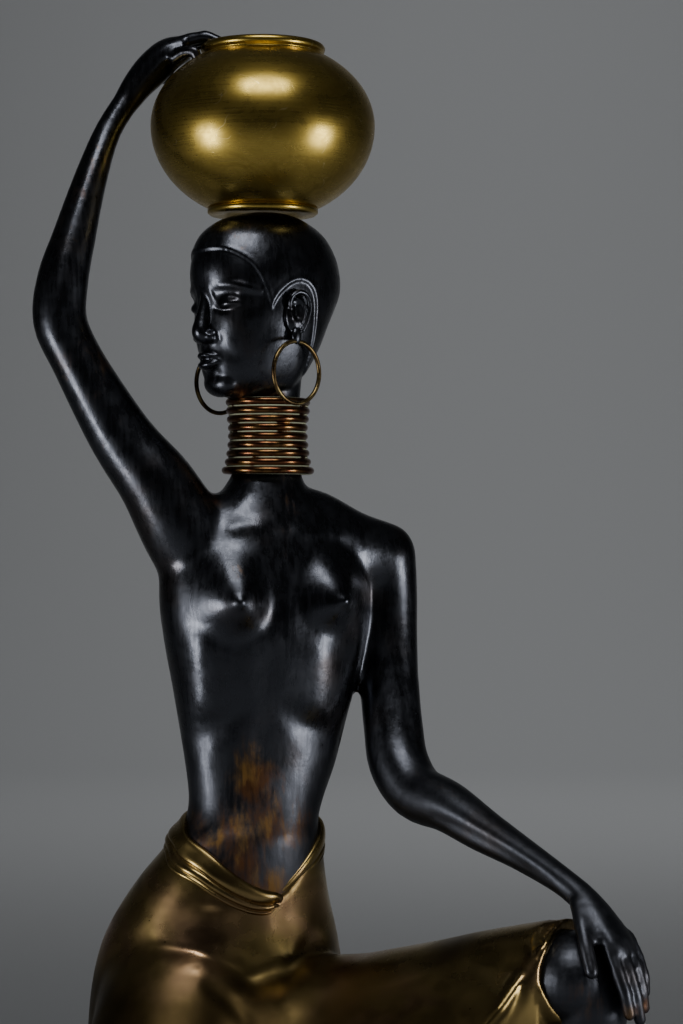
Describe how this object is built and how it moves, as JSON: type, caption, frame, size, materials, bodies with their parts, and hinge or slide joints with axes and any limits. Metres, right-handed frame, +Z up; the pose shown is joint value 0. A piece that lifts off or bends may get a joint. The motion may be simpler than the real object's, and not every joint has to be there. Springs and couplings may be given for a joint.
{
  "type": "kneeling water bearer figure",
  "caption": "Kneeling woman in dark patinated bronze with a polished brass wrap, neck rings and hoop earrings, steadying a hollow brass jar on her head, on a low dark base.",
  "frame": {"origin": "centre of the base's underside", "axes": "+Z up, -Y towards the side the figure is seen from, +X to that viewer's right, where the raised knee points"},
  "size_m": [0.524, 0.4, 0.9852],
  "materials": {
    "patinated_bronze": "near-black waxed patina, glossy, rubbed through to brown metal at the waist",
    "polished_brass": "polished olive brass with small casting pits",
    "satin_brass": "satin spun brass with fine scratches",
    "aged_brass": "darkened brass wire",
    "copper_wire": "browned copper wire, bright on top, pale wax residue between the rings",
    "ebonised_wood": "ebonised and waxed"
  },
  "bodies": {
    "root": {"base": "ebonised_wood", "skirt": "polished_brass", "left_lower_leg": "patinated_bronze", "right_foot": "patinated_bronze", "upper_body": "patinated_bronze", "jar": "satin_brass", "left_earring": "aged_brass", "right_earring": "aged_brass", "neck_ring_1": "copper_wire", "neck_ring_2": "copper_wire", "neck_ring_3": "copper_wire", "neck_ring_4": "copper_wire", "neck_ring_5": "copper_wire", "neck_ring_6": "copper_wire", "neck_ring_7": "copper_wire", "neck_ring_8": "copper_wire", "neck_ring_9": "copper_wire"}
  },
  "joints": []
}
